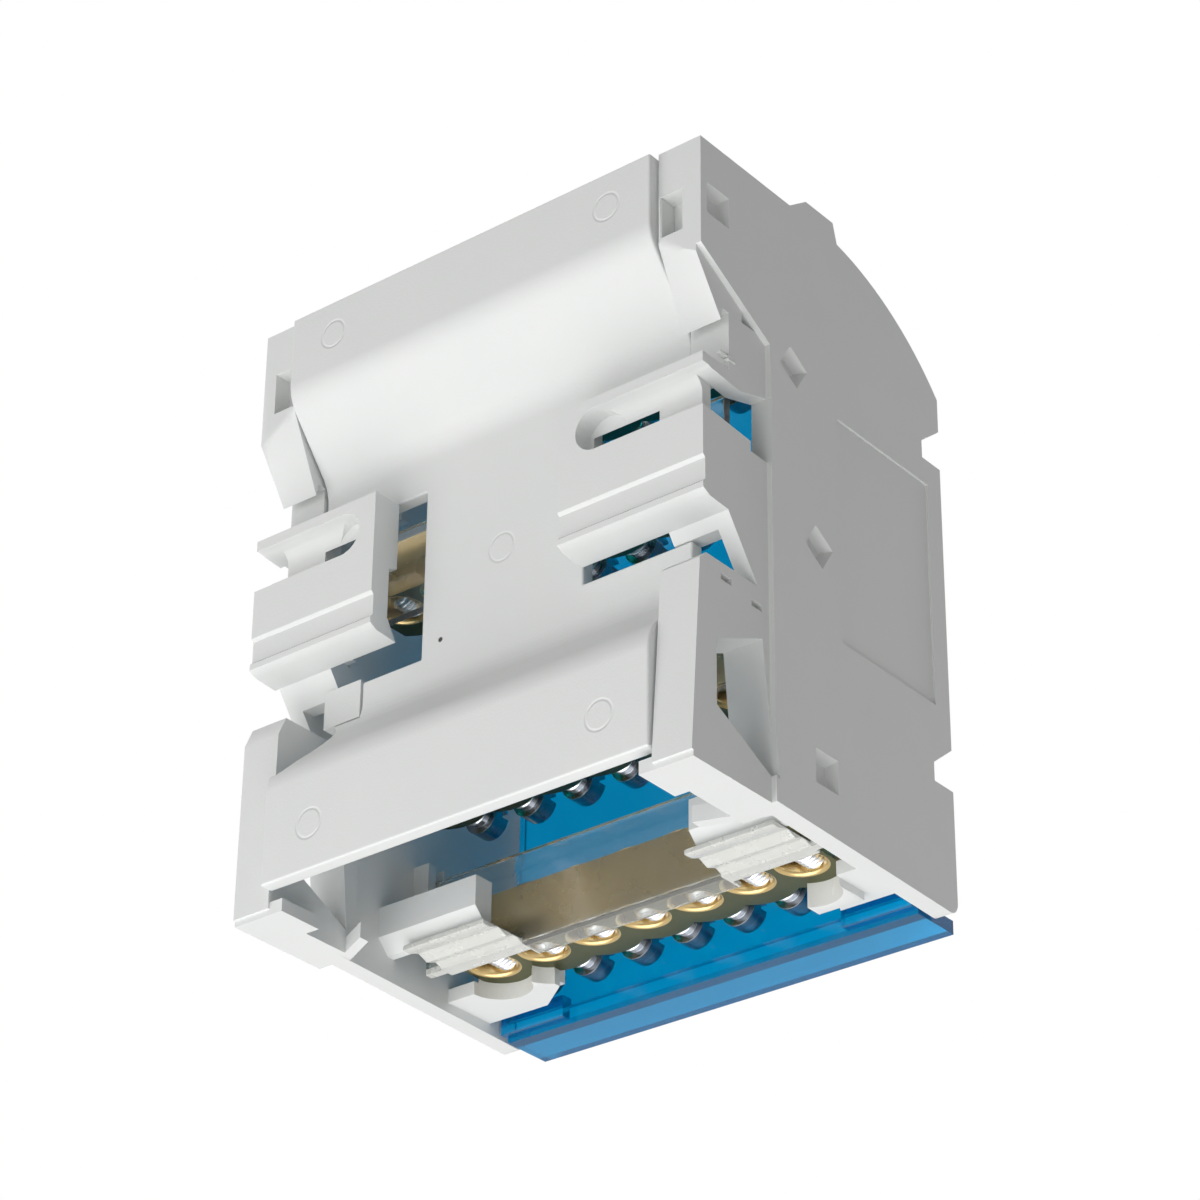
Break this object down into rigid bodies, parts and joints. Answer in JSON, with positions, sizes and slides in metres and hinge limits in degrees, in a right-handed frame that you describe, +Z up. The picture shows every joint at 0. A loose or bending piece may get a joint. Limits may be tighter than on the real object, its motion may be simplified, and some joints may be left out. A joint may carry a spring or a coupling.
{
  "type": "power distribution block",
  "caption": "Rail-mounted power distribution block: moulded case with rail hooks and slotted clips, scalloped brass bars with clamp screws on clear carriers, hinged see-through blue cover.",
  "frame": {"origin": "on the rail's seat plane at the rail's centre line, half-way between the two case walls", "axes": "+X along the rail, -Y out of the front cover, +Z up"},
  "size_m": [0.0715, 0.0541, 0.0875],
  "materials": {
    "white_plastic": "satin moulded off-white, fine texture",
    "blue_cover": "glossy transparent blue",
    "brass": "machined brass",
    "clear_plastic": "clear moulded plastic",
    "zinc": "bright zinc plated steel"
  },
  "bodies": {
    "case": {"left_cheek": "white_plastic", "right_cheek": "white_plastic", "back_plate": "white_plastic", "lower_front_bar": "brass", "lower_front_carrier": "clear_plastic", "lower_rear_bar": "brass", "lower_rear_carrier": "clear_plastic", "upper_rear_bar": "brass", "upper_rear_carrier": "clear_plastic", "upper_front_bar": "brass", "upper_front_carrier": "clear_plastic"},
    "cover": {"front_cover": "blue_cover"},
    "lower_front_screw_1": {"lower_front_screw_1": "zinc"},
    "lower_front_screw_2": {"lower_front_screw_2": "zinc"},
    "lower_front_screw_3": {"lower_front_screw_3": "zinc"},
    "lower_front_screw_4": {"lower_front_screw_4": "zinc"},
    "lower_front_screw_5": {"lower_front_screw_5": "zinc"},
    "lower_front_screw_6": {"lower_front_screw_6": "zinc"},
    "lower_front_screw_7": {"lower_front_screw_7": "zinc"},
    "lower_rear_screw_1": {"lower_rear_screw_1": "zinc"},
    "lower_rear_screw_2": {"lower_rear_screw_2": "zinc"},
    "lower_rear_screw_3": {"lower_rear_screw_3": "zinc"},
    "lower_rear_screw_4": {"lower_rear_screw_4": "zinc"},
    "lower_rear_screw_5": {"lower_rear_screw_5": "zinc"},
    "lower_rear_screw_6": {"lower_rear_screw_6": "zinc"},
    "lower_rear_screw_7": {"lower_rear_screw_7": "zinc"},
    "upper_rear_screw_1": {"upper_rear_screw_1": "zinc"},
    "upper_rear_screw_2": {"upper_rear_screw_2": "zinc"},
    "upper_rear_screw_3": {"upper_rear_screw_3": "zinc"},
    "upper_rear_screw_4": {"upper_rear_screw_4": "zinc"},
    "upper_rear_screw_5": {"upper_rear_screw_5": "zinc"},
    "upper_rear_screw_6": {"upper_rear_screw_6": "zinc"},
    "upper_rear_screw_7": {"upper_rear_screw_7": "zinc"},
    "upper_front_screw_1": {"upper_front_screw_1": "zinc"},
    "upper_front_screw_2": {"upper_front_screw_2": "zinc"},
    "upper_front_screw_3": {"upper_front_screw_3": "zinc"},
    "upper_front_screw_4": {"upper_front_screw_4": "zinc"},
    "upper_front_screw_5": {"upper_front_screw_5": "zinc"},
    "upper_front_screw_6": {"upper_front_screw_6": "zinc"},
    "upper_front_screw_7": {"upper_front_screw_7": "zinc"}
  },
  "joints": [
    {"name": "cover_hinge", "type": "hinge", "parent": "case", "child": "cover", "pos_m": [0, -0.028, 0.03387], "axis": [-1, 0, 0], "range_deg": [0, 100]},
    {"name": "lower_front_screw_1_travel", "type": "slide", "parent": "case", "child": "lower_front_screw_1", "axis": [0, -1, 0], "range_m": [0, 0.002]},
    {"name": "lower_front_screw_2_travel", "type": "slide", "parent": "case", "child": "lower_front_screw_2", "axis": [0, -1, 0], "range_m": [0, 0.002]},
    {"name": "lower_front_screw_3_travel", "type": "slide", "parent": "case", "child": "lower_front_screw_3", "axis": [0, -1, 0], "range_m": [0, 0.002]},
    {"name": "lower_front_screw_4_travel", "type": "slide", "parent": "case", "child": "lower_front_screw_4", "axis": [0, -1, 0], "range_m": [0, 0.002]},
    {"name": "lower_front_screw_5_travel", "type": "slide", "parent": "case", "child": "lower_front_screw_5", "axis": [0, -1, 0], "range_m": [0, 0.002]},
    {"name": "lower_front_screw_6_travel", "type": "slide", "parent": "case", "child": "lower_front_screw_6", "axis": [0, -1, 0], "range_m": [0, 0.002]},
    {"name": "lower_front_screw_7_travel", "type": "slide", "parent": "case", "child": "lower_front_screw_7", "axis": [0, -1, 0], "range_m": [0, 0.002]},
    {"name": "lower_rear_screw_1_travel", "type": "slide", "parent": "case", "child": "lower_rear_screw_1", "axis": [0, -1, 0], "range_m": [0, 0.002]},
    {"name": "lower_rear_screw_2_travel", "type": "slide", "parent": "case", "child": "lower_rear_screw_2", "axis": [0, -1, 0], "range_m": [0, 0.002]},
    {"name": "lower_rear_screw_3_travel", "type": "slide", "parent": "case", "child": "lower_rear_screw_3", "axis": [0, -1, 0], "range_m": [0, 0.002]},
    {"name": "lower_rear_screw_4_travel", "type": "slide", "parent": "case", "child": "lower_rear_screw_4", "axis": [0, -1, 0], "range_m": [0, 0.002]},
    {"name": "lower_rear_screw_5_travel", "type": "slide", "parent": "case", "child": "lower_rear_screw_5", "axis": [0, -1, 0], "range_m": [0, 0.002]},
    {"name": "lower_rear_screw_6_travel", "type": "slide", "parent": "case", "child": "lower_rear_screw_6", "axis": [0, -1, 0], "range_m": [0, 0.002]},
    {"name": "lower_rear_screw_7_travel", "type": "slide", "parent": "case", "child": "lower_rear_screw_7", "axis": [0, -1, 0], "range_m": [0, 0.002]},
    {"name": "upper_rear_screw_1_travel", "type": "slide", "parent": "case", "child": "upper_rear_screw_1", "axis": [0, -1, 0], "range_m": [0, 0.002]},
    {"name": "upper_rear_screw_2_travel", "type": "slide", "parent": "case", "child": "upper_rear_screw_2", "axis": [0, -1, 0], "range_m": [0, 0.002]},
    {"name": "upper_rear_screw_3_travel", "type": "slide", "parent": "case", "child": "upper_rear_screw_3", "axis": [0, -1, 0], "range_m": [0, 0.002]},
    {"name": "upper_rear_screw_4_travel", "type": "slide", "parent": "case", "child": "upper_rear_screw_4", "axis": [0, -1, 0], "range_m": [0, 0.002]},
    {"name": "upper_rear_screw_5_travel", "type": "slide", "parent": "case", "child": "upper_rear_screw_5", "axis": [0, -1, 0], "range_m": [0, 0.002]},
    {"name": "upper_rear_screw_6_travel", "type": "slide", "parent": "case", "child": "upper_rear_screw_6", "axis": [0, -1, 0], "range_m": [0, 0.002]},
    {"name": "upper_rear_screw_7_travel", "type": "slide", "parent": "case", "child": "upper_rear_screw_7", "axis": [0, -1, 0], "range_m": [0, 0.002]},
    {"name": "upper_front_screw_1_travel", "type": "slide", "parent": "case", "child": "upper_front_screw_1", "axis": [0, -1, 0], "range_m": [0, 0.002]},
    {"name": "upper_front_screw_2_travel", "type": "slide", "parent": "case", "child": "upper_front_screw_2", "axis": [0, -1, 0], "range_m": [0, 0.002]},
    {"name": "upper_front_screw_3_travel", "type": "slide", "parent": "case", "child": "upper_front_screw_3", "axis": [0, -1, 0], "range_m": [0, 0.002]},
    {"name": "upper_front_screw_4_travel", "type": "slide", "parent": "case", "child": "upper_front_screw_4", "axis": [0, -1, 0], "range_m": [0, 0.002]},
    {"name": "upper_front_screw_5_travel", "type": "slide", "parent": "case", "child": "upper_front_screw_5", "axis": [0, -1, 0], "range_m": [0, 0.002]},
    {"name": "upper_front_screw_6_travel", "type": "slide", "parent": "case", "child": "upper_front_screw_6", "axis": [0, -1, 0], "range_m": [0, 0.002]},
    {"name": "upper_front_screw_7_travel", "type": "slide", "parent": "case", "child": "upper_front_screw_7", "axis": [0, -1, 0], "range_m": [0, 0.002]}
  ]
}
